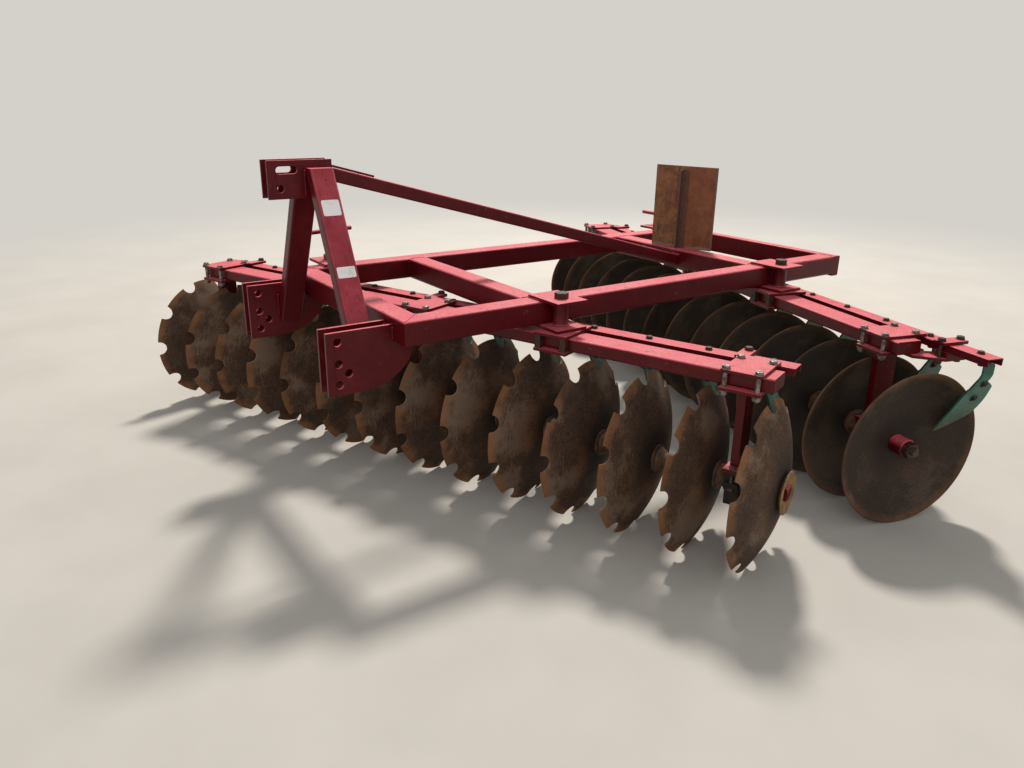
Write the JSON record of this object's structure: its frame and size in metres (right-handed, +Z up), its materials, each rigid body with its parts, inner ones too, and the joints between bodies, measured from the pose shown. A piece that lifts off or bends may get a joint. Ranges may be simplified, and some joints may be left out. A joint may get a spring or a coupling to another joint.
{
  "type": "disc harrow",
  "caption": "Mounted double-row disc harrow: notched front discs and plain rear discs on angled axles under a red tube frame with a three-point hitch.",
  "frame": {"origin": "on the floor under the middle of the machine's box", "axes": "+X to the machine's left, -Y to the hitch at the front, +Z up"},
  "size_m": [3.2174, 3.2012, 1.315],
  "materials": {
    "red_paint": "weathered red paint, chalky in the sun",
    "rusty_steel": "brown rusted steel",
    "dark_steel": "dark oily steel",
    "zinc": "dull yellow zinc and rust",
    "green_paint": "teal green paint, scuffed",
    "wood": "weathered brown film-faced plywood"
  },
  "bodies": {
    "frame": {"side_rail_left": "red_paint", "side_rail_right": "red_paint", "front_crossbar": "red_paint", "second_crossbar": "red_paint", "third_crossbar": "red_paint", "rear_crossbar": "red_paint", "hitch_plate_left_outer": "red_paint", "hitch_plate_left_inner": "red_paint", "hitch_plate_right_inner": "red_paint", "hitch_plate_right_outer": "red_paint", "head_plate_left": "red_paint", "head_plate_right": "red_paint", "mast_leg_left": "red_paint", "mast_leg_right": "red_paint", "mast_brace": "red_paint", "brace_strap": "red_paint", "post_front_left": "red_paint", "post_rear_left": "red_paint", "post_front_right": "red_paint", "post_rear_right": "red_paint", "pivot_bolt_front": "dark_steel", "pivot_bolt_rear": "dark_steel", "spindle_front": "red_paint", "spindle_rear": "red_paint", "board": "wood", "board_angle": "dark_steel", "front_beam": "red_paint", "front_scraper_bar": "red_paint", "front_clamp_plates": "red_paint", "front_pivot_plates": "red_paint", "front_hanger_left": "red_paint", "front_hanger_middle": "red_paint", "front_hanger_right": "red_paint", "front_bearings": "dark_steel", "front_scrapers": "green_paint", "rear_beam": "red_paint", "rear_scraper_bar": "red_paint", "rear_clamp_plates": "red_paint", "rear_pivot_plates": "red_paint", "rear_hanger_left": "red_paint", "rear_hanger_middle": "red_paint", "rear_hanger_right": "red_paint", "rear_bearings": "dark_steel", "rear_scrapers": "green_paint", "rear_bar_splice": "red_paint"},
    "front_gang": {"front_discs": "rusty_steel", "front_axle": "dark_steel", "front_spools": "rusty_steel", "front_axle_ends": "zinc", "front_axle_nuts": "dark_steel"},
    "rear_gang": {"rear_discs": "rusty_steel", "rear_axle": "dark_steel", "rear_spools": "rusty_steel", "rear_axle_ends": "zinc", "rear_axle_nuts": "dark_steel"}
  },
  "joints": [
    {"name": "front_gang_spin", "type": "hinge", "parent": "frame", "child": "front_gang", "pos_m": [-0.03242, -0.75424, 0.305], "axis": [0.9336, 0.3584, 0], "continuous": true},
    {"name": "rear_gang_spin", "type": "hinge", "parent": "frame", "child": "rear_gang", "pos_m": [-0.06442, 0.90076, 0.305], "axis": [0.96, -0.2798, 0], "continuous": true}
  ]
}
